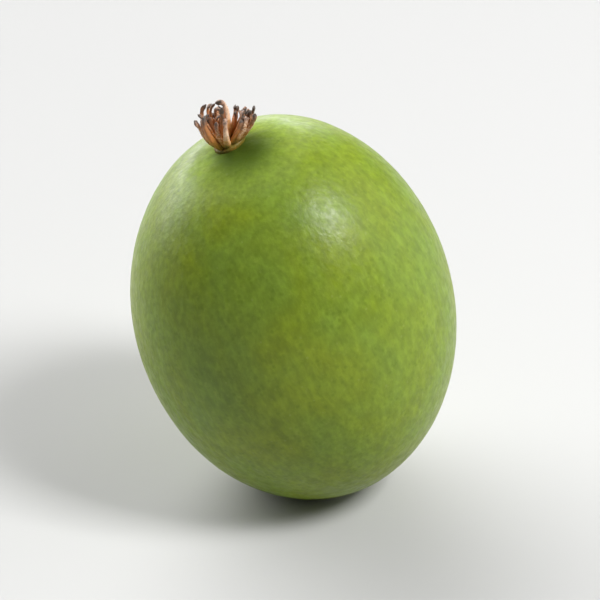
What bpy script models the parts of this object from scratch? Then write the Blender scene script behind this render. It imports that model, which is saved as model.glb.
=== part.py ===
"""A whole kiwi berry, standing on the small flat spot beside its stem scar.

Run with: blender --background --python part.py
Units are metres and +Z is up. The origin is the middle of the flat spot.
The berry leans, so its dried style tuft points up and towards -X.

The berry is one ovoid body. A point of its skin is named by two angles about the
stem-to-style axis: turn goes round the axis and tilt goes from the style end (0)
down to the stem end (pi). Everything is shaped in that upright axis frame, and one
matrix, stand(), then shears and leans it into the way it rests.
"""

import math
import random

import bmesh
import bpy
from mathutils import Matrix, Vector

# The ovoid body.
BERRY_WIDTH = 0.0230
STYLE_HALF_LENGTH = 0.0145
STEM_HALF_LENGTH = 0.01495
AXIS_LEAN = math.radians(22)
OBLIQUE_SHEAR = 0.065
# Slight lobes make the cross-section less than round: (how many, share of the radius, phase).
LOBES = ((2, 0.008, 0.6), (3, 0.005, 2.1), (5, 0.003, 0.4))

# The flat spot that it rests on, and how softly the skin turns into it.
FLAT_DEPTH = 0.0006
FLAT_EASE = 0.0001

# The hollow round the style tuft, with the puckers that run into it. The skew makes the skin rise
# more steeply from the tuft towards +X.
STYLE_HOLLOW_DEPTH = 0.0005
STYLE_HOLLOW_RADIUS = 0.0025
STYLE_HOLLOW_SKEW = 0.32
PUCKER_COUNT = 9
PUCKER_DEPTH = 0.00005

# The deeper hollow that the stem was picked from.
STEM_HOLLOW_DEPTH = 0.0013
STEM_HOLLOW_RADIUS = 0.0021

# The skin's mesh. Its rings stand closer together at both ends.
SKIN_SIDES = 64
SKIN_RINGS = 48
RING_CROWDING = 0.5

# Pieces that sit on the skin stay this far off it.
CLEARANCE = 0.0001

# The dry pad that holds the styles is a flat dome on the skin.
PAD_RADIUS = 0.00120
PAD_EDGE = 0.00008
PAD_HEIGHT = 0.00032
PAD_SIDES = 20
PAD_RINGS = 5

# The dried styles stand in the pad, the outer ones splayed furthest. They bend back in, like the
# sides of a cup, and their tips curl.
STYLE_COUNT = 42
STYLE_SEED = 225
STYLE_SIDES = 6
STYLE_RINGS = 9
STYLE_ROOT_REACH = 0.00100
STYLE_ROOT_LIFT = 0.00022
STYLE_LENGTHS = (0.0021, 0.0035)
STYLE_SPLAY = (math.radians(2), math.radians(48))
STYLE_BEND = (math.radians(-59), math.radians(-31))
STYLE_HOOK = (math.radians(-120), math.radians(35))
STYLE_HOOK_START = 0.62
STYLE_SWAY = math.radians(18)
# They part into two bunches along +X of the axis frame. The smaller one leans away and is shorter.
PARTING_PLACE = 0.14
BIG_BUNCH_LEAN = math.radians(9)
SMALL_BUNCH_LEAN = math.radians(38)
SMALL_BUNCH_SHARE = 0.83
# Half the width of a style along its length, (share of the length, half width), and how much
# thinner it is than it is wide.
STYLE_WIDTHS = (
    (0.00, 0.00022), (0.20, 0.00023), (0.55, 0.00019), (0.78, 0.00014),
    (0.88, 0.00019), (0.96, 0.00018), (1.00, 0.00010),
)
STYLE_FLATNESS = 0.62
STYLE_END_ROUNDING = 0.00008
GOLDEN_ANGLE = math.pi * (3 - math.sqrt(5))

# The corky disc left where the stem came off.
SCAR_RADIUS = 0.00115
SCAR_SIDES = 24
# (share of the radius, height over the skin), from the rim to the sunken middle.
SCAR_PROFILE = ((1.0, 0.00008), (0.93, 0.00022), (0.74, 0.00026), (0.52, 0.00012), (0.26, 0.00016))

SKIN_COLOUR = (0.190, 0.270, 0.028)
TUFT_COLOUR = (0.340, 0.165, 0.065)
SCAR_COLOUR = (0.180, 0.110, 0.050)


def clear_scene():
    """Removes whatever the start-up scene holds."""
    for old in list(bpy.data.objects):
        bpy.data.objects.remove(old, do_unlink=True)


def lobed(turn):
    """How much wider or narrower than round the body is at this turn."""
    return 1 + sum(share * math.cos(count * turn + phase) for count, share, phase in LOBES)


def skin_distance(turn, tilt):
    """Distance from the middle of the berry to its skin."""
    across, along = math.sin(tilt), math.cos(tilt)
    half_width = BERRY_WIDTH / 2 * lobed(turn)
    half_length = STYLE_HALF_LENGTH if along > 0 else STEM_HALF_LENGTH
    ovoid = 1 / math.hypot(across / half_width, along / half_length)
    from_style = tilt * STYLE_HALF_LENGTH / STYLE_HOLLOW_RADIUS
    from_stem = (math.pi - tilt) * STEM_HALF_LENGTH / STEM_HOLLOW_RADIUS
    skew = STYLE_HOLLOW_SKEW * from_style * math.cos(turn)
    style_hollow = STYLE_HOLLOW_DEPTH * math.exp(-from_style ** 2 - skew)
    stem_hollow = STEM_HOLLOW_DEPTH * math.exp(-from_stem ** 2)
    puckers = PUCKER_DEPTH * math.cos(PUCKER_COUNT * turn) * from_style ** 2 * math.exp(-from_style ** 2)
    return ovoid - style_hollow - stem_hollow + puckers


def skin_point(turn, tilt, lift=0.0):
    """A point of the skin in the axis frame, or one lifted off it."""
    direction = Vector((
        math.sin(tilt) * math.cos(turn),
        math.sin(tilt) * math.sin(turn),
        math.cos(tilt),
    ))
    return direction * (skin_distance(turn, tilt) + lift)


def turns(sides):
    """Evenly spaced turns round the axis."""
    return [2 * math.pi * step / sides for step in range(sides)]


def skin_tilts():
    """The tilt of each ring of the skin, without the two ends."""
    shares = [ring / (SKIN_RINGS + 1) for ring in range(1, SKIN_RINGS + 1)]
    crowd = RING_CROWDING / (2 * math.pi)
    return [math.pi * (share - crowd * math.sin(2 * math.pi * share)) for share in shares]


def skin_rings():
    """The rings of the skin in the axis frame, from the style end down."""
    return [[skin_point(turn, tilt) for turn in turns(SKIN_SIDES)] for tilt in skin_tilts()]


def stand():
    """Takes the axis frame to the berry as it rests: oblique, leaning, with its lowest point under z = 0."""
    shear = Matrix.Identity(4)
    shear[0][2] = OBLIQUE_SHEAR
    leaning = Matrix.Rotation(-AXIS_LEAN, 4, "Y") @ shear
    placed = (leaning @ point for ring in skin_rings() for point in ring)
    lowest = min(placed, key=lambda point: point.z)
    return Matrix.Translation((-lowest.x, -lowest.y, -lowest.z - FLAT_DEPTH)) @ leaning


def settle(point):
    """Presses a point of the skin onto the surface at z = 0, easing the edge of the flat spot."""
    height = point.z
    if height <= -FLAT_EASE:
        height = 0.0
    elif height < FLAT_EASE:
        height = (height + FLAT_EASE) ** 2 / (4 * FLAT_EASE)
    return Vector((point.x, point.y, height))


def closed_mesh(name, start, rings, end):
    """A closed mesh through rings of equal length, with a fan to a point at each end."""
    shape = bmesh.new()
    first = shape.verts.new(start)
    loops = [[shape.verts.new(point) for point in ring] for ring in rings]
    last = shape.verts.new(end)
    count = len(rings[0])
    for side in range(count):
        beside = (side + 1) % count
        shape.faces.new((first, loops[0][beside], loops[0][side]))
        shape.faces.new((last, loops[-1][side], loops[-1][beside]))
        for upper, lower in zip(loops, loops[1:]):
            shape.faces.new((upper[side], upper[beside], lower[beside], lower[side]))
    bmesh.ops.recalc_face_normals(shape, faces=shape.faces)
    mesh = bpy.data.meshes.new(name)
    shape.to_mesh(mesh)
    shape.free()
    mesh.shade_smooth()
    return mesh


def painted(name, colour, roughness):
    """A plain Principled material."""
    material = bpy.data.materials.new(name)
    material.use_nodes = True
    shader = material.node_tree.nodes["Principled BSDF"]
    shader.inputs["Base Color"].default_value = (*colour, 1.0)
    shader.inputs["Roughness"].default_value = roughness
    shader.inputs["Metallic"].default_value = 0.0
    return material


def add_object(name, mesh, material, collection=None):
    """An object for the mesh, in the scene or in a collection of its own."""
    mesh.materials.append(material)
    obj = bpy.data.objects.new(name, mesh)
    (collection or bpy.context.scene.collection).objects.link(obj)
    return obj


def add_berry(standing):
    """The fruit itself: skin and flesh as one solid, pressed flat where it rests."""
    rings = [[settle(standing @ point) for point in ring] for ring in skin_rings()]
    style_end = standing @ skin_point(0.0, 0.0)
    stem_end = standing @ skin_point(0.0, math.pi)
    mesh = closed_mesh("berry", style_end, rings, stem_end)
    return add_object("berry", mesh, painted("berry_skin", SKIN_COLOUR, 0.4))


def pad_rings():
    """The pad's rings in the axis frame: two that follow the skin, then up and over its dome."""
    def ring(share, lift):
        tilt = share * PAD_RADIUS / STYLE_HALF_LENGTH
        return [skin_point(turn, tilt, CLEARANCE + lift) for turn in turns(PAD_SIDES)]

    under = [ring(0.5, 0.0), ring(1.0, 0.0)]
    climbs = [math.pi / 2 * step / PAD_RINGS for step in range(PAD_RINGS)]
    over = [ring(math.cos(climb), PAD_EDGE + PAD_HEIGHT * math.sin(climb)) for climb in climbs]
    return under + over


def interpolated(table, share):
    """Reads a table of (share, value) rows, with straight lines between them."""
    for (low, at_low), (high, at_high) in zip(table, table[1:]):
        if share <= high:
            return at_low + (at_high - at_low) * (share - low) / (high - low)
    return table[-1][1]


def style_line(index, draw):
    """One style's centre line, from a root in the pad to a hooked tip, and the way its width runs."""
    outward = math.sqrt((index + 0.5) / STYLE_COUNT)
    azimuth = index * GOLDEN_ANGLE
    radial = Vector((math.cos(azimuth), math.sin(azimuth), 0.0))
    side = Vector((-radial.y, radial.x, 0.0))
    point = skin_point(azimuth, outward * STYLE_ROOT_REACH / STYLE_HALF_LENGTH, CLEARANCE + STYLE_ROOT_LIFT)
    splay = STYLE_SPLAY[0] + (STYLE_SPLAY[1] - STYLE_SPLAY[0]) * outward
    bend = draw.uniform(*STYLE_BEND) * outward
    hook = draw.uniform(*STYLE_HOOK)
    sway = draw.uniform(-STYLE_SWAY, STYLE_SWAY)
    length = draw.uniform(*STYLE_LENGTHS)
    lean = BIG_BUNCH_LEAN
    if radial.x * outward > PARTING_PLACE:
        lean = SMALL_BUNCH_LEAN
        length *= SMALL_BUNCH_SHARE
    points = [point]
    step = length / (STYLE_RINGS - 1)
    for ring in range(1, STYLE_RINGS):
        share = ring / (STYLE_RINGS - 1)
        hooked = max(0.0, share - STYLE_HOOK_START) / (1 - STYLE_HOOK_START)
        angle = splay + bend * share + hook * hooked ** 2
        heading = Vector((math.sin(lean), 0.0, math.cos(angle)))
        heading += radial * math.sin(angle) + side * sway * share
        point = point + heading.normalized() * step
        points.append(point)
    return points, side


def style_rings(line, across):
    """Flattened rings round a line, each square to it, with no twist from one to the next."""
    rings = []
    for index, point in enumerate(line):
        ahead = line[min(index + 1, len(line) - 1)]
        behind = line[max(index - 1, 0)]
        along = (ahead - behind).normalized()
        across = (across - along * across.dot(along)).normalized()
        thin = along.cross(across) * STYLE_FLATNESS
        half_width = interpolated(STYLE_WIDTHS, index / (len(line) - 1))
        rings.append([
            point + (across * math.cos(turn) + thin * math.sin(turn)) * half_width
            for turn in turns(STYLE_SIDES)
        ])
    return rings


def style_mesh(name, index, draw, standing):
    """One style as a closed flat stalk with rounded ends."""
    line, across = style_line(index, draw)
    rings = style_rings(line, across)
    root = line[0] - (line[1] - line[0]).normalized() * STYLE_END_ROUNDING
    tip = line[-1] + (line[-1] - line[-2]).normalized() * STYLE_END_ROUNDING
    placed = [[standing @ point for point in ring] for ring in rings]
    return closed_mesh(name, standing @ root, placed, standing @ tip)


def keep_outer_shell(mesh):
    """Drops the walls of gaps that crossing styles close in, which leaves the gaps solid."""
    shape = bmesh.new()
    shape.from_mesh(mesh)
    seen = set()
    shells = []
    for vert in shape.verts:
        if vert in seen:
            continue
        seen.add(vert)
        shell = [vert]
        for reached in shell:
            beside = [edge.other_vert(reached) for edge in reached.link_edges]
            fresh = [other for other in beside if other not in seen]
            seen.update(fresh)
            shell.extend(fresh)
        shells.append(shell)
    shells.sort(key=len)
    walls = [vert for shell in shells[:-1] for vert in shell]
    bmesh.ops.delete(shape, geom=walls, context="VERTS")
    shape.to_mesh(mesh)
    shape.free()


def add_style_tuft(standing):
    """The withered styles of the flower and the pad that they stand in, fused into one body."""
    material = painted("dry_style", TUFT_COLOUR, 0.6)
    rings = [[standing @ point for point in ring] for ring in pad_rings()]
    under = standing @ skin_point(0.0, 0.0, CLEARANCE)
    top = standing @ skin_point(0.0, 0.0, CLEARANCE + PAD_EDGE + PAD_HEIGHT)
    tuft = add_object("style_tuft", closed_mesh("style_tuft", under, rings, top), material)
    draw = random.Random(STYLE_SEED)
    loose = bpy.data.collections.new("loose_styles")
    bpy.context.scene.collection.children.link(loose)
    for index in range(STYLE_COUNT):
        name = f"style_{index:02d}"
        add_object(name, style_mesh(name, index, draw, standing), material, loose)
    join = tuft.modifiers.new("join_styles", "BOOLEAN")
    join.operation = "UNION"
    join.operand_type = "COLLECTION"
    join.collection = loose
    join.solver = "EXACT"
    bpy.context.view_layer.objects.active = tuft
    bpy.ops.object.modifier_apply(modifier=join.name)
    keep_outer_shell(tuft.data)
    for style in list(loose.objects):
        bpy.data.objects.remove(style, do_unlink=True)
    bpy.data.collections.remove(loose)
    return tuft


def add_stem_scar(standing):
    """The corky disc in the hollow at the stem end."""
    def ring(share, lift):
        tilt = math.pi - share * SCAR_RADIUS / STEM_HALF_LENGTH
        return [standing @ skin_point(turn, tilt, lift) for turn in turns(SCAR_SIDES)]

    under = [ring(share, CLEARANCE) for share in (0.5, 1.0)]
    over = [ring(share, CLEARANCE + height) for share, height in SCAR_PROFILE]
    start = standing @ skin_point(0.0, math.pi, CLEARANCE)
    end = standing @ skin_point(0.0, math.pi, CLEARANCE + SCAR_PROFILE[-1][1])
    mesh = closed_mesh("stem_scar", start, under + over, end)
    return add_object("stem_scar", mesh, painted("cork", SCAR_COLOUR, 0.8))


def main():
    clear_scene()
    standing = stand()
    add_berry(standing)
    add_style_tuft(standing)
    add_stem_scar(standing)


main()
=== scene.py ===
"""Looks of the kiwi berry: its skin, its tuft of dried styles and its stem scar, on a pale floor.

Units are metres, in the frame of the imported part: +Z up, the origin in the middle of the
flat spot, the tuft leaning towards -X. A point of the skin is named by two angles about the
stem-to-style axis: turn goes round the axis and tilt from the style end (0) to the stem end (pi).
"""

import math
import random

import bpy
import numpy as np
from mathutils import Matrix, Vector, noise


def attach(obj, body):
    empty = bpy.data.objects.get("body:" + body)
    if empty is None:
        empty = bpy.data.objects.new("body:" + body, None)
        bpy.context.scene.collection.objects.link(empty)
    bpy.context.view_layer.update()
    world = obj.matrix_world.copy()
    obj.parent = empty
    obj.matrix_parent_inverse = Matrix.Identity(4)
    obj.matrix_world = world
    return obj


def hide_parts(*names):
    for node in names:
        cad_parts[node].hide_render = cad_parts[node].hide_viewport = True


MM = 0.001

# The ovoid body, the flat spot and the hollows, as in the part.
BERRY_WIDTH = 23.0 * MM
STYLE_HALF_LENGTH = 14.5 * MM
STEM_HALF_LENGTH = 14.95 * MM
AXIS_LEAN = math.radians(22)
OBLIQUE_SHEAR = 0.065
LOBES = ((2, 0.008, 0.6), (3, 0.005, 2.1), (5, 0.003, 0.4))
FLAT_DEPTH = 0.6 * MM
FLAT_EASE = 0.1 * MM
STYLE_HOLLOW_DEPTH = 0.5 * MM
STYLE_HOLLOW_RADIUS = 2.5 * MM
STYLE_HOLLOW_SKEW = 0.32
PUCKER_COUNT = 9
PUCKER_DEPTH = 0.05 * MM
STEM_HOLLOW_DEPTH = 1.3 * MM
STEM_HOLLOW_RADIUS = 2.1 * MM
CLEARANCE = 0.1 * MM
# The pad and the scar are rooted this deep in the skin.
ROOTING = 0.15 * MM

# The part's own mesh of the skin.
PART_SIDES = 64
PART_RINGS = 48

# The shown skin's mesh and its low relief: (size of a swell, its height).
SKIN_SIDES = 320
SKIN_RINGS = 270
RING_CROWDING = 0.5
SWELLS = ((8.0 * MM, 0.060 * MM), (2.2 * MM, 0.016 * MM), (0.9 * MM, 0.006 * MM))
# The swells flatten out this close to both ends.
SWELL_FADE = 1.0 * MM
# The painted shade in the hollow is darkest this far from the tuft's middle, at this turn.
PAINTED_SHADE_OFFSET = 2.0 * MM
PAINTED_SHADE_TURN = math.radians(-62)

# The tuft, as in the part.
PAD_RADIUS = 1.20 * MM
PAD_EDGE = 0.08 * MM
PAD_HEIGHT = 0.32 * MM
STYLE_COUNT = 42
STYLE_SEED = 225
STYLE_ROOT_REACH = 1.00 * MM
STYLE_ROOT_LIFT = 0.22 * MM
STYLE_LENGTHS = (2.1 * MM, 3.5 * MM)
STYLE_SPLAY = (math.radians(2), math.radians(48))
STYLE_BEND = (math.radians(-59), math.radians(-31))
STYLE_HOOK = (math.radians(-120), math.radians(35))
STYLE_HOOK_START = 0.62
STYLE_SWAY = math.radians(18)
PARTING_PLACE = 0.14
BIG_BUNCH_LEAN = math.radians(9)
SMALL_BUNCH_LEAN = math.radians(38)
SMALL_BUNCH_SHARE = 0.83
STYLE_STEPS = 8
GOLDEN_ANGLE = math.pi * (3 - math.sqrt(5))

# The finer shape of the tuft.
PAD_SIDES = 72
PAD_RINGS = 18
PAD_CREASES = 18
PAD_CREASE_HEIGHT = 0.04 * MM
PAD_TINT = 0.2
STYLE_SIDES = 14
STYLE_RINGS = 48
STYLE_FLATNESS = 0.58
STYLE_TWIST = 1.6
STYLE_END_CAP = 0.05 * MM
STYLE_GROOVES = 3
GROOVE_DEPTH = 0.13
# How many swings of each kind a style holds from end to end, and how strong they are.
DRIFTS = 5
DRIFT_REACH = 0.05 * MM
WRINKLES = 14
WRINKLE_DEPTH = 0.16
TEARS = 9
TEAR_DEPTH = 0.45
TEAR_START = 0.78
# Half a style's width: (share of its length, half width).
STYLE_HALF_WIDTHS = (
    (0.00, 0.24 * MM), (0.20, 0.25 * MM), (0.55, 0.20 * MM), (0.78, 0.14 * MM),
    (0.88, 0.18 * MM), (0.94, 0.18 * MM), (1.00, 0.06 * MM),
)
LOOKS_SEED = 14

# The stem scar.
SCAR_RADIUS = 1.15 * MM
SCAR_SIDES = 96
# From the rim to the middle: (share of the radius, height over the skin).
SCAR_PROFILE = (
    (1.00, 0.08 * MM), (0.97, 0.17 * MM), (0.92, 0.22 * MM), (0.84, 0.25 * MM), (0.74, 0.25 * MM),
    (0.64, 0.20 * MM), (0.54, 0.13 * MM), (0.44, 0.11 * MM), (0.32, 0.14 * MM), (0.20, 0.16 * MM),
    (0.10, 0.15 * MM),
)
# The scar is rough above this height.
SCAR_ROUGH_FROM = 0.1 * MM
SCAR_ROUGHNESS = 0.035 * MM
SCAR_PATCHES = 5

# Colours are (red, green, blue), and a ramp's rows are (position, colour). The skin's patches run
# from bluish to yellowish green.
SKIN_PATCHES = (
    (0.32, (0.176, 0.266, 0.030)),
    (0.46, (0.185, 0.266, 0.023)),
    (0.58, (0.194, 0.266, 0.017)),
    (0.72, (0.204, 0.266, 0.014)),
)
FLECK_COLOUR = (0.100, 0.165, 0.006)
GLINT_COLOUR = (0.290, 0.370, 0.050)
BLUSH_COLOUR = (0.230, 0.150, 0.020)
PORE_COLOUR = (0.300, 0.360, 0.090)
# Painted shade: the dark green laid on the skin in the hollow beside the tuft.
PAINTED_HOLLOW_SHADE = (0.054, 0.096, 0.000)
STAIN_COLOUR = (0.190, 0.150, 0.030)
# From a style's root to its tip.
BROWN_STYLE = (
    (0.00, (0.170, 0.130, 0.012)),
    (0.16, (0.420, 0.205, 0.025)),
    (0.50, (0.560, 0.220, 0.056)),
    (0.78, (0.340, 0.150, 0.066)),
    (0.95, (0.095, 0.070, 0.055)),
)
PALE_STYLE = (
    (0.00, (0.220, 0.170, 0.020)),
    (0.25, (0.700, 0.380, 0.120)),
    (0.62, (0.900, 0.650, 0.460)),
    (0.84, (0.520, 0.310, 0.210)),
    (0.98, (0.115, 0.085, 0.065)),
)
CORK_PATCHES = (
    (0.30, (0.075, 0.042, 0.018)),
    (0.52, (0.190, 0.115, 0.050)),
    (0.72, (0.330, 0.225, 0.110)),
)

# The camera looks along +Y from above, through a long lens.
CAMERA_ELEVATION = math.radians(32)
CAMERA_LENS = 180
CAMERA_SENSOR = 36
CAMERA_CLIP = (0.01, 50)
FRAME_WIDTH = 43 * MM
AIM = Vector((-0.6 * MM, 0.0, 14.8 * MM))

FLOOR_SIZE = 8.0
FLOOR_COLOUR = (0.50, 0.50, 0.495)

# Two softboxes: (direction from the berry, distance, (width, height), watts). The key makes the
# highlight on the upper right, and the fill lights the right side.
KEY = ((0.56, -0.26, 0.75), 0.45, (0.12, 0.16), 2.15)
FILL = ((0.88, 0.22, 0.42), 0.50, (0.50, 0.44), 0.95)
# The studio's other light comes from the side of the backdrop, at the back left. The edge is
# where it turns from dim to bright, as cosines of the angle off that side.
BACKDROP_DIRECTION = (-0.55, 0.82, 0.26)
BACKDROP_EDGE = (0.58, 0.92)
BACKDROP_STRENGTH = (0.04, 5.50)


def interpolated(table, share):
    """Reads a table of (share, value) rows, with straight lines between them."""
    return float(np.interp(share, [row[0] for row in table], [row[1] for row in table]))


def lobed(turn):
    """How much wider or narrower than round the body is at this turn."""
    return 1 + sum(share * np.cos(count * turn + phase) for count, share, phase in LOBES)


def skin_distance(turn, tilt):
    """Distance from the middle of the berry to its skin."""
    across, along = np.sin(tilt), np.cos(tilt)
    half_width = BERRY_WIDTH / 2 * lobed(turn)
    half_length = np.where(along > 0, STYLE_HALF_LENGTH, STEM_HALF_LENGTH)
    ovoid = 1 / np.hypot(across / half_width, along / half_length)
    from_style = tilt * STYLE_HALF_LENGTH / STYLE_HOLLOW_RADIUS
    from_stem = (math.pi - tilt) * STEM_HALF_LENGTH / STEM_HOLLOW_RADIUS
    skew = STYLE_HOLLOW_SKEW * from_style * np.cos(turn)
    style_hollow = STYLE_HOLLOW_DEPTH * np.exp(-from_style ** 2 - skew)
    stem_hollow = STEM_HOLLOW_DEPTH * np.exp(-from_stem ** 2)
    pucker_fade = from_style ** 2 * np.exp(-from_style ** 2)
    puckers = PUCKER_DEPTH * np.cos(PUCKER_COUNT * turn) * pucker_fade
    return ovoid - style_hollow - stem_hollow + puckers


def skin_directions(turn, tilt):
    """Unit vectors from the middle of the berry, in the axis frame."""
    turn, tilt = np.broadcast_arrays(turn, tilt)
    return np.stack([np.sin(tilt) * np.cos(turn), np.sin(tilt) * np.sin(turn), np.cos(tilt)], -1)


def skin_points(turn, tilt, lift=0.0):
    """Points of the skin in the axis frame, or points lifted off it."""
    distance = np.asarray(skin_distance(turn, tilt) + lift)
    return skin_directions(turn, tilt) * distance[..., None]


def crowded_tilts(rings):
    """The tilt of each ring of the skin, without the two ends. They stand closer near the ends."""
    share = np.arange(1, rings + 1) / (rings + 1)
    return math.pi * (share - RING_CROWDING / (2 * math.pi) * np.sin(2 * math.pi * share))


def turns(sides):
    """Evenly spaced turns round the axis."""
    return 2 * math.pi * np.arange(sides) / sides


def stand():
    """Takes the axis frame to the berry as it rests: oblique, leaning, and on its flat spot."""
    shear = Matrix.Identity(4)
    shear[0][2] = OBLIQUE_SHEAR
    leaning = np.array(Matrix.Rotation(-AXIS_LEAN, 4, "Y") @ shear)
    # The part finds its lowest point on the same rings, so that both stand alike.
    turn, tilt = np.meshgrid(turns(PART_SIDES), crowded_tilts(PART_RINGS))
    placed = skin_points(turn, tilt).reshape(-1, 3) @ leaning[:3, :3].T
    lowest = placed[placed[:, 2].argmin()]
    leaning[:3, 3] = -lowest
    leaning[2, 3] -= FLAT_DEPTH
    return leaning


def place(standing, points):
    """Points of the axis frame, as the berry rests."""
    return np.asarray(points) @ standing[:3, :3].T + standing[:3, 3]


def settle(points):
    """Presses the skin onto the surface at z = 0, easing the edge of the flat spot."""
    height = points[..., 2]
    eased = np.clip(height + FLAT_EASE, 0, 2 * FLAT_EASE) ** 2 / (4 * FLAT_EASE)
    settled = points.copy()
    settled[..., 2] = np.where(height < FLAT_EASE, eased, height)
    return settled


def relief(points, tilt):
    """Height of the skin's low relief: swells of a few sizes, nearly flat at both ends."""
    spots = points.reshape(-1, 3)
    height = np.zeros(tilt.size)
    for size, rise in SWELLS:
        height += rise * np.array([noise.noise(Vector(spot / size)) for spot in spots])
    from_end = np.minimum(tilt * STYLE_HALF_LENGTH, (math.pi - tilt) * STEM_HALF_LENGTH)
    return height.reshape(tilt.shape) * np.clip(from_end / SWELL_FADE, 0.2, 1)


def closed_faces(first, sides, rings):
    """Faces of a closed tube of rings: a start point, the rings one after another, an end point."""
    last = first + 1 + sides * rings
    faces = []
    for side in range(sides):
        beside = (side + 1) % sides
        faces.append((first, first + 1 + beside, first + 1 + side))
        end = last - sides
        faces.append((last, end + side, end + beside))
        for ring in range(rings - 1):
            upper = first + 1 + ring * sides
            lower = upper + sides
            faces.append((upper + side, upper + beside, lower + beside, lower + side))
    return faces


def mesh_piece(name, points, faces, material, node, values=()):
    """A shown piece that rides on the berry and stands for one node of the part."""
    mesh = bpy.data.meshes.new(name)
    mesh.from_pydata([tuple(point) for point in points], [], faces)
    for label, numbers in dict(values).items():
        attribute = mesh.attributes.new(label, "FLOAT", "POINT")
        attribute.data.foreach_set("value", np.asarray(numbers, np.float32))
    mesh.materials.append(material)
    mesh.shade_smooth()
    piece = bpy.data.objects.new(name, mesh)
    bpy.context.scene.collection.objects.link(piece)
    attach(piece, "root")
    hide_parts(node)


class Recipe:
    """A material under construction. Each method adds a node and gives its output socket."""

    def __init__(self, name):
        self.material = bpy.data.materials.new(name)
        self.material.use_nodes = True
        self.tree = self.material.node_tree
        self.shader = self.tree.nodes["Principled BSDF"]

    def put(self, socket, value):
        """Links another node's output to a socket, or sets a plain value."""
        if isinstance(value, bpy.types.NodeSocket):
            self.tree.links.new(value, socket)
        else:
            socket.default_value = value

    def add(self, kind, inputs, **settings):
        """Adds a node of a kind, with its inputs and settings."""
        node = self.tree.nodes.new(kind)
        for key, value in settings.items():
            setattr(node, key, value)
        for key, value in inputs.items():
            self.put(node.inputs[key], value)
        return node

    def shade(self, **inputs):
        """Sets the shader's sockets, named with _ for each space."""
        for key, value in inputs.items():
            self.put(self.shader.inputs[key.replace("_", " ")], value)

    def spot(self):
        """The shaded point, in metres of the frame."""
        return self.add("ShaderNodeTexCoord", {}).outputs["Object"]

    def along_axis(self, stretch):
        """Millimetres with Z along the berry's axis, where patterns run stretch times longer."""
        upright = self.add("ShaderNodeMapping", {
            "Vector": self.spot(), "Rotation": (0, AXIS_LEAN, 0), "Scale": (1 / MM, 1 / MM, 1 / MM),
        }).outputs["Vector"]
        return self.add("ShaderNodeMapping", {
            "Vector": upright, "Scale": (1, 1, 1 / stretch),
        }).outputs["Vector"]

    def noise(self, vector, size, detail=2.0, roughness=0.5, distortion=0.0):
        """Noise from 0 to 1 whose features are about size across."""
        return self.add("ShaderNodeTexNoise", {
            "Vector": vector, "Scale": 1 / size, "Detail": detail, "Roughness": roughness,
            "Distortion": distortion,
        }).outputs["Fac"]

    def cell_distance(self, vector, spacing):
        """Distance from the nearest of many scattered points, in spacings."""
        return self.add("ShaderNodeTexVoronoi", {
            "Vector": vector, "Scale": 1 / spacing, "Randomness": 1.0,
        }).outputs["Distance"]

    def remap(self, value, low, high, to_low=0.0, to_high=1.0):
        """Maps low to high smoothly onto to_low to to_high, and holds the ends."""
        return self.add("ShaderNodeMapRange", {
            "Value": value, "From Min": low, "From Max": high, "To Min": to_low, "To Max": to_high,
        }, interpolation_type="SMOOTHSTEP").outputs["Result"]

    def math(self, operation, *values):
        """The result of an arithmetic step on values or sockets."""
        node = self.tree.nodes.new("ShaderNodeMath")
        node.operation = operation
        for socket, value in zip(node.inputs, values):
            self.put(socket, value)
        return node.outputs["Value"]

    def ramp(self, value, stops):
        """A colour ramp through (position, colour) stops."""
        node = self.add("ShaderNodeValToRGB", {"Fac": value})
        elements = node.color_ramp.elements
        while len(elements) < len(stops):
            elements.new(0.5)
        for element, (position, colour) in zip(elements, stops):
            element.position = position
            element.color = (*colour, 1.0)
        return node.outputs["Color"]

    def blend(self, share, under, over, mode="MIX"):
        """Lays one colour over another by share."""
        node = self.tree.nodes.new("ShaderNodeMix")
        node.data_type = "RGBA"
        node.blend_type = mode
        # A colour Mix node keeps its factor, A, B and result at these places.
        for index, value in ((0, share), (6, under), (7, over)):
            if isinstance(value, tuple):
                value = (*value, 1.0)
            self.put(node.inputs[index], value)
        return node.outputs[2]

    def distance_from(self, point):
        """Distance in millimetres from a point of the frame."""
        node = self.tree.nodes.new("ShaderNodeVectorMath")
        node.operation = "DISTANCE"
        self.put(node.inputs[0], self.spot())
        node.inputs[1].default_value = point
        return self.math("MULTIPLY", node.outputs["Value"], 1 / MM)

    def attribute(self, name):
        """A value that the mesh holds at each point."""
        return self.add("ShaderNodeAttribute", {}, attribute_name=name).outputs["Fac"]

    def bump(self, height, depth, normal=None):
        """A bump whose height of 1 stands depth metres out."""
        inputs = {"Height": height, "Distance": depth, "Strength": 1.0}
        if normal is not None:
            inputs["Normal"] = normal
        return self.add("ShaderNodeBump", inputs).outputs["Normal"]


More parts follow.
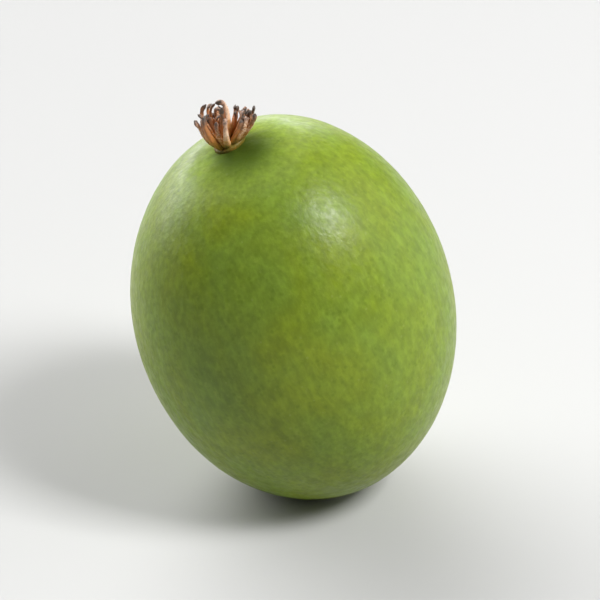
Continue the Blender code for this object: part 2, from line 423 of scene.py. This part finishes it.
def skin_material(standing):
    """Satin green skin, mottled at several scales, with pale pores, and a dull hollow at the tuft
    darkened by painted shade.
    """
    recipe = Recipe("berry_skin")
    even = recipe.along_axis(1.0)
    drawn = recipe.along_axis(1.3)
    streaky = recipe.along_axis(2.4)
    patches = recipe.noise(drawn, 5.0, detail=2.0, roughness=0.5, distortion=0.3)
    colour = recipe.ramp(patches, SKIN_PATCHES)
    mottle = recipe.noise(drawn, 0.9, detail=4.0, roughness=0.7)
    mottle = recipe.remap(mottle, 0.30, 0.70, 0.89, 1.11)
    colour = recipe.blend(1.0, colour, mottle, "MULTIPLY")
    streaks = recipe.remap(recipe.noise(streaky, 0.36, detail=3.0), 0.30, 0.70, 0.90, 1.10)
    colour = recipe.blend(1.0, colour, streaks, "MULTIPLY")
    flecks = recipe.remap(recipe.cell_distance(even, 0.48), 0.10, 0.42, 0.42, 0.0)
    fleck_share = recipe.remap(recipe.noise(even, 1.4, detail=2.0), 0.35, 0.70, 0.45, 1.0)
    colour = recipe.blend(recipe.math("MULTIPLY", flecks, fleck_share), colour, FLECK_COLOUR)
    glints = recipe.remap(recipe.noise(even, 0.35, detail=2.0), 0.56, 0.78, 0.0, 0.26)
    colour = recipe.blend(glints, colour, GLINT_COLOUR)
    blush = recipe.remap(recipe.noise(even, 5.0, detail=2.0), 0.64, 0.82, 0.0, 0.16)
    colour = recipe.blend(blush, colour, BLUSH_COLOUR)
    pores = recipe.remap(recipe.cell_distance(even, 1.05), 0.06, 0.12, 0.26, 0.0)
    colour = recipe.blend(pores, colour, PORE_COLOUR)
    # Painted shade: the hollow beside the tuft is darkened towards one point off the tuft's middle,
    # where the dull roughness is centred too.
    painted_shade_tilt = PAINTED_SHADE_OFFSET / STYLE_HALF_LENGTH
    painted_shade_middle = place(standing, skin_points(PAINTED_SHADE_TURN, painted_shade_tilt))
    hollow = recipe.remap(recipe.distance_from(painted_shade_middle), 0.9, 3.5, 0.96, 0.0)
    colour = recipe.blend(hollow, colour, PAINTED_HOLLOW_SHADE)
    dull = recipe.remap(recipe.distance_from(painted_shade_middle), 2.6, 5.0, 0.50, 0.0)
    stem_end = place(standing, skin_points(0.0, math.pi))
    stain = recipe.remap(recipe.distance_from(stem_end), 1.1, 2.6, 0.70, 0.0)
    colour = recipe.blend(stain, colour, STAIN_COLOUR)
    satin = recipe.remap(recipe.noise(even, 0.6, detail=3.0), 0.3, 0.7, 0.31, 0.45)
    grain = recipe.noise(even, 0.22, detail=3.0, roughness=0.6)
    dimple = recipe.noise(streaky, 0.50, detail=2.0)
    normal = recipe.bump(grain, 0.010 * MM)
    normal = recipe.bump(dimple, 0.034 * MM, normal)
    recipe.shade(
        Base_Color=colour, Roughness=recipe.math("ADD", satin, dull), Specular_IOR_Level=0.47,
        IOR=1.36, Normal=normal, Subsurface_Weight=0.22, Subsurface_Radius=(1.0, 1.3, 0.35),
        Subsurface_Scale=1.1 * MM,
    )
    return recipe.material


def dry_style_material():
    """Withered styles: olive at the root, red-brown with pale streaks above, dark at the tip."""
    recipe = Recipe("dry_style")
    even = recipe.along_axis(1.0)
    along = recipe.attribute("along")
    tint = recipe.attribute("tint")
    uneven = recipe.remap(recipe.noise(even, 0.30, 3.0), 0.3, 0.7, -0.10, 0.10)
    ragged = recipe.math("ADD", along, uneven)
    brown = recipe.ramp(ragged, BROWN_STYLE)
    pale = recipe.ramp(ragged, PALE_STYLE)
    streak = recipe.remap(recipe.noise(even, 0.16, 3.0, 0.7), 0.35, 0.65, -0.25, 0.25)
    paleness = recipe.remap(recipe.math("ADD", tint, streak), 0.46, 0.92)
    colour = recipe.blend(paleness, brown, pale)
    fibre = recipe.noise(even, 0.07, detail=3.0, roughness=0.7)
    recipe.shade(
        Base_Color=colour, Roughness=0.55, Normal=recipe.bump(fibre, 0.012 * MM),
        Subsurface_Weight=0.08, Subsurface_Radius=(1.0, 0.5, 0.3), Subsurface_Scale=0.2 * MM,
    )
    return recipe.material


def cork_material():
    """Dry brown cork, mottled and grainy."""
    recipe = Recipe("cork")
    even = recipe.along_axis(1.0)
    patches = recipe.noise(even, 0.35, detail=4.0, roughness=0.65)
    colour = recipe.ramp(patches, CORK_PATCHES)
    grain = recipe.noise(even, 0.10, detail=3.0, roughness=0.7)
    recipe.shade(Base_Color=colour, Roughness=0.85, Normal=recipe.bump(grain, 0.03 * MM))
    return recipe.material


def add_skin(standing):
    """The berry's skin, with its low relief, pressed flat where it rests."""
    turn, tilt = np.meshgrid(turns(SKIN_SIDES), crowded_tilts(SKIN_RINGS))
    points = skin_points(turn, tilt, relief(skin_points(turn, tilt), tilt))
    points = settle(place(standing, points)).reshape(-1, 3)
    ends = place(standing, [skin_points(0.0, 0.0), skin_points(0.0, math.pi)])
    points = np.vstack([ends[:1], points, ends[1:]])
    faces = closed_faces(0, SKIN_SIDES, SKIN_RINGS)
    mesh_piece("skin", points, faces, skin_material(standing), "berry")


def style_line(index, draw):
    """One style's centre line and the way its width runs, as in the part."""
    outward = math.sqrt((index + 0.5) / STYLE_COUNT)
    azimuth = index * GOLDEN_ANGLE
    radial = Vector((math.cos(azimuth), math.sin(azimuth), 0.0))
    side = Vector((-radial.y, radial.x, 0.0))
    root_tilt = outward * STYLE_ROOT_REACH / STYLE_HALF_LENGTH
    point = Vector(skin_points(azimuth, root_tilt, CLEARANCE + STYLE_ROOT_LIFT))
    splay = STYLE_SPLAY[0] + (STYLE_SPLAY[1] - STYLE_SPLAY[0]) * outward
    bend = draw.uniform(*STYLE_BEND) * outward
    hook = draw.uniform(*STYLE_HOOK)
    sway = draw.uniform(-STYLE_SWAY, STYLE_SWAY)
    length = draw.uniform(*STYLE_LENGTHS)
    lean = BIG_BUNCH_LEAN
    if radial.x * outward > PARTING_PLACE:
        lean = SMALL_BUNCH_LEAN
        length *= SMALL_BUNCH_SHARE
    points = [point]
    for ring in range(1, STYLE_STEPS + 1):
        share = ring / STYLE_STEPS
        hooked = max(0.0, share - STYLE_HOOK_START) / (1 - STYLE_HOOK_START)
        angle = splay + bend * share + hook * hooked ** 2
        heading = Vector((math.sin(lean), 0.0, math.cos(angle)))
        heading += radial * math.sin(angle) + side * sway * share
        point = point + heading.normalized() * (length / STYLE_STEPS)
        points.append(point)
    return points, side


def smooth_line(points, count):
    """A smooth curve of count points through the given ones."""
    line = []
    spans = len(points) - 1
    for index in range(count):
        reached = spans * index / (count - 1)
        span = min(int(reached), spans - 1)
        share = reached - span
        places = (min(max(span + step, 0), spans) for step in (-1, 0, 1, 2))
        before, start, end, after = (points[place] for place in places)
        slope = end - before
        curve = 2 * before - 5 * start + 4 * end - after
        change = 3 * start - before - 3 * end + after
        line.append(0.5 * (2 * start + slope * share + curve * share ** 2 + change * share ** 3))
    return line


def line_frames(line, across):
    """For each point of a line, its direction and two directions square to it, without twist."""
    frames = []
    for index, point in enumerate(line):
        along = (line[min(index + 1, len(line) - 1)] - line[max(index - 1, 0)]).normalized()
        across = (across - along * across.dot(along)).normalized()
        frames.append((point, along, across, along.cross(across)))
    return frames


def style_points(line, across, looks):
    """Points of one withered style: a flat, twisted, grooved, wrinkled stalk with a ragged tip."""
    twist = looks.uniform(-STYLE_TWIST, STYLE_TWIST)
    phase = looks.uniform(0, 2 * math.pi)
    seed = looks.uniform(0, 100)
    points = []
    frames = line_frames(smooth_line(line, STYLE_RINGS), across)
    for ring, (centre, along, wide, thin) in enumerate(frames):
        share = ring / (STYLE_RINGS - 1)
        half_width = interpolated(STYLE_HALF_WIDTHS, share)
        drift = noise.noise_vector(Vector((seed, share * DRIFTS, 0))) * DRIFT_REACH * share
        ragged = max(0.0, share - TEAR_START) / (1 - TEAR_START)
        for turn in turns(STYLE_SIDES):
            about = Vector((math.cos(turn), math.sin(turn), 0.0))
            groove = 1 + GROOVE_DEPTH * math.cos(STYLE_GROOVES * turn + phase)
            fold = noise.noise(about + Vector((seed, 0.0, share * WRINKLES)))
            wrinkle = 1 + WRINKLE_DEPTH * fold
            rip = noise.noise(about * 2 + Vector((seed, 50.0, share * TEARS)))
            tear = 1 + TEAR_DEPTH * ragged * rip
            reach = half_width * groove * wrinkle * tear
            flat = wide * math.cos(turn) + thin * math.sin(turn) * STYLE_FLATNESS
            spun = Matrix.Rotation(twist * share, 3, along) @ flat
            points.append(centre + drift + spun * reach)
    root, root_heading = frames[0][:2]
    tip, tip_heading = frames[-1][:2]
    start = root - root_heading * STYLE_END_CAP
    end = tip + tip_heading * STYLE_END_CAP
    return [start, *points, end]


def pad_points():
    """Points of the dry pad in the axis frame: under the skin, up its edge and over its dome."""
    # The first two rings lie in the skin and close the underside.
    climb = np.concatenate([[0, 0], np.arange(PAD_RINGS - 2) / (PAD_RINGS - 2) * math.pi / 2])
    share = np.cos(climb)
    share[0] = 0.5
    lift = CLEARANCE + PAD_EDGE + PAD_HEIGHT * np.sin(climb)
    lift[:2] = -ROOTING
    turn, share = np.meshgrid(turns(PAD_SIDES), share)
    lift = np.broadcast_to(lift[:, None], turn.shape)
    crease_fade = np.clip(lift / PAD_HEIGHT - 0.3, 0, 1) * share
    creases = PAD_CREASE_HEIGHT * np.cos(PAD_CREASES * turn) * crease_fade
    rings = skin_points(turn, share * PAD_RADIUS / STYLE_HALF_LENGTH, lift + creases)
    start = skin_points(0.0, 0.0, -ROOTING)
    end = skin_points(0.0, 0.0, CLEARANCE + PAD_EDGE + PAD_HEIGHT)
    return [start, *rings.reshape(-1, 3), end]


def add_tuft(standing):
    """The pad and its withered styles, as one piece."""
    draw = random.Random(STYLE_SEED)
    looks = random.Random(LOOKS_SEED)
    noise.seed_set(LOOKS_SEED)
    points = pad_points()
    faces = closed_faces(0, PAD_SIDES, PAD_RINGS)
    along = [0.0] * len(points)
    tint = [PAD_TINT] * len(points)
    for index in range(STYLE_COUNT):
        line, across = style_line(index, draw)
        stalk = style_points(line, across, looks)
        faces += closed_faces(len(points), STYLE_SIDES, STYLE_RINGS)
        points += stalk
        shares = np.repeat(np.arange(STYLE_RINGS) / (STYLE_RINGS - 1), STYLE_SIDES)
        along += [0.0, *shares, 1.0]
        tint += [looks.random()] * len(stalk)
    placed = place(standing, [tuple(point) for point in points])
    mesh_piece(
        "dried_styles", placed, faces, dry_style_material(), "style_tuft",
        {"along": along, "tint": tint},
    )


def add_scar(standing):
    """The corky disc in the stem hollow, with a raised rim and a rough, sunken middle."""
    # The first two rings lie in the skin and close the underside.
    sunk = -ROOTING - CLEARANCE
    profile = np.array([(0.5, sunk), (1.0, sunk), *SCAR_PROFILE])
    turn, share = np.meshgrid(turns(SCAR_SIDES), profile[:, 0])
    lift = np.broadcast_to(profile[:, 1][:, None], turn.shape)
    across = np.stack([share * np.cos(turn), share * np.sin(turn)], -1).reshape(-1, 2)
    bumps = [noise.noise(Vector((x, y, 3.0))) for x, y in across * SCAR_PATCHES]
    rough = np.array(bumps).reshape(turn.shape)
    lift = lift + SCAR_ROUGHNESS * rough * (lift > SCAR_ROUGH_FROM)
    tilt = math.pi - share * SCAR_RADIUS / STEM_HALF_LENGTH
    rings = skin_points(turn, tilt, CLEARANCE + lift).reshape(-1, 3)
    start = skin_points(0.0, math.pi, -ROOTING)
    end = skin_points(0.0, math.pi, CLEARANCE + SCAR_PROFILE[-1][1])
    points = place(standing, [start, *rings, end])
    faces = closed_faces(0, SCAR_SIDES, len(profile))
    mesh_piece("scar", points, faces, cork_material(), "stem_scar")


def add_floor():
    """A plain pale floor."""
    mesh = bpy.data.meshes.new("floor")
    half = FLOOR_SIZE / 2
    square = [(-half, -half, 0), (half, -half, 0), (half, half, 0), (-half, half, 0)]
    mesh.from_pydata(square, [], [(0, 1, 2, 3)])
    recipe = Recipe("pale_floor")
    recipe.shade(Base_Color=(*FLOOR_COLOUR, 1.0), Roughness=0.7)
    mesh.materials.append(recipe.material)
    floor = bpy.data.objects.new("floor", mesh)
    bpy.context.scene.collection.objects.link(floor)


def add_softbox(name, direction, distance, size, power):
    """A softbox that faces the berry from a direction."""
    light = bpy.data.lights.new(name, "AREA")
    light.shape = "RECTANGLE"
    light.size, light.size_y = size
    light.energy = power
    box = bpy.data.objects.new(name, light)
    toward = Vector(direction).normalized()
    box.location = AIM + toward * distance
    box.rotation_mode = "QUATERNION"
    box.rotation_quaternion = toward.to_track_quat("Z", "Y")
    bpy.context.scene.collection.objects.link(box)


def add_world():
    """White light from all round, bright from the backdrop's side and dim from the front."""
    world = bpy.data.worlds.new("studio")
    bpy.context.scene.world = world
    world.use_nodes = True
    nodes, links = world.node_tree.nodes, world.node_tree.links
    direction = nodes.new("ShaderNodeTexCoord").outputs["Generated"]
    facing = nodes.new("ShaderNodeVectorMath")
    facing.operation = "DOT_PRODUCT"
    facing.inputs[1].default_value = Vector(BACKDROP_DIRECTION).normalized()
    links.new(direction, facing.inputs[0])
    strength = nodes.new("ShaderNodeMapRange")
    strength.interpolation_type = "SMOOTHSTEP"
    sockets = ("From Min", "From Max", "To Min", "To Max")
    for socket, value in zip(sockets, (*BACKDROP_EDGE, *BACKDROP_STRENGTH)):
        strength.inputs[socket].default_value = value
    links.new(facing.outputs["Value"], strength.inputs["Value"])
    background = nodes["Background"]
    background.inputs["Color"].default_value = (1.0, 1.0, 1.0, 1.0)
    links.new(strength.outputs["Result"], background.inputs["Strength"])


def add_camera():
    """The photograph's viewing angle, through a long lens."""
    camera = bpy.data.cameras.new("camera")
    camera.lens = CAMERA_LENS
    camera.sensor_width = CAMERA_SENSOR
    camera.clip_start, camera.clip_end = CAMERA_CLIP
    seen = bpy.data.objects.new("camera", camera)
    distance = FRAME_WIDTH * CAMERA_LENS / CAMERA_SENSOR
    back = Vector((0, -math.cos(CAMERA_ELEVATION), math.sin(CAMERA_ELEVATION)))
    seen.location = AIM + back * distance
    seen.rotation_mode = "QUATERNION"
    seen.rotation_quaternion = (-back).to_track_quat("-Z", "Y")
    bpy.context.scene.collection.objects.link(seen)
    bpy.context.scene.camera = seen


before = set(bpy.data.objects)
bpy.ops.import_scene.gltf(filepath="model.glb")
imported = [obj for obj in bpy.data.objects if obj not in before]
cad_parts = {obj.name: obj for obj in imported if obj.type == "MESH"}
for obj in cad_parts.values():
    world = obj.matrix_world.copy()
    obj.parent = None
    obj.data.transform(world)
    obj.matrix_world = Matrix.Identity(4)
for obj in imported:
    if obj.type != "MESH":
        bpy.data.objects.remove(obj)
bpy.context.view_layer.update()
standing = stand()
add_skin(standing)
add_tuft(standing)
add_scar(standing)
add_floor()
add_world()
add_softbox("key", *KEY)
add_softbox("fill", *FILL)
add_camera()
bpy.context.scene.view_settings.view_transform = "Standard"
